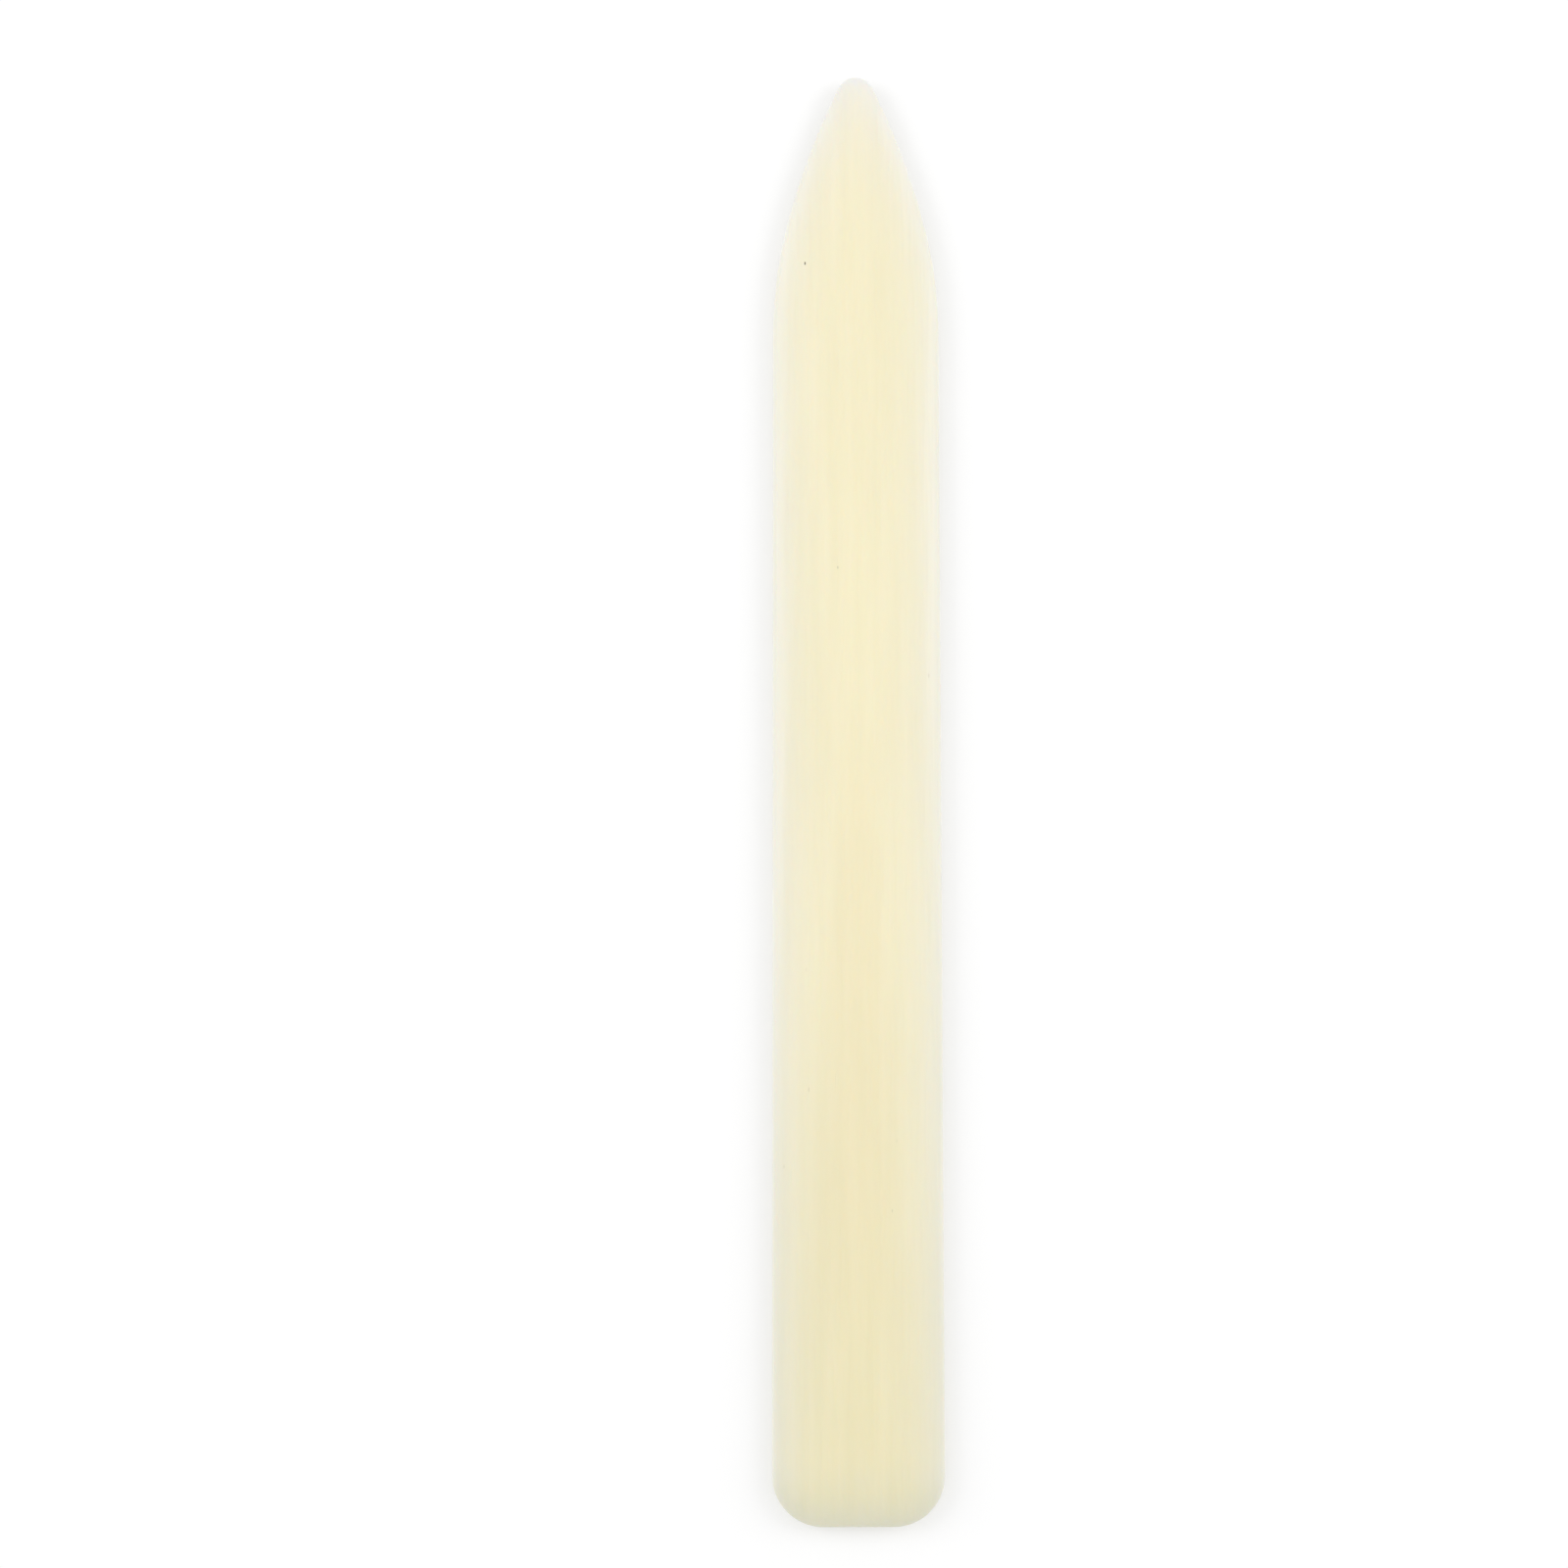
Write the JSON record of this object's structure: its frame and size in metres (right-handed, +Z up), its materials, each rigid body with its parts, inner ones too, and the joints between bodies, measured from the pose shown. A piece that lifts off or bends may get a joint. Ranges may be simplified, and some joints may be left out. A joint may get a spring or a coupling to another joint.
{
  "type": "bone folder",
  "caption": "Slim one-piece bone folder with a pointed arch tip, a square heel with rounded corners and softly rolled edges, for creasing, scoring and burnishing paper.",
  "frame": {"origin": "centre of the blade's footprint, on the surface that its underside rests on", "axes": "+Y along the blade from the square heel to the point, +X across its width, +Z up through its thickness"},
  "size_m": [0.0178, 0.15, 0.003],
  "materials": {
    "polished_bone": "smooth polished natural bone, satin, slightly translucent at the thin edges"
  },
  "bodies": {
    "root": {"bone_blade": "polished_bone"}
  },
  "joints": []
}
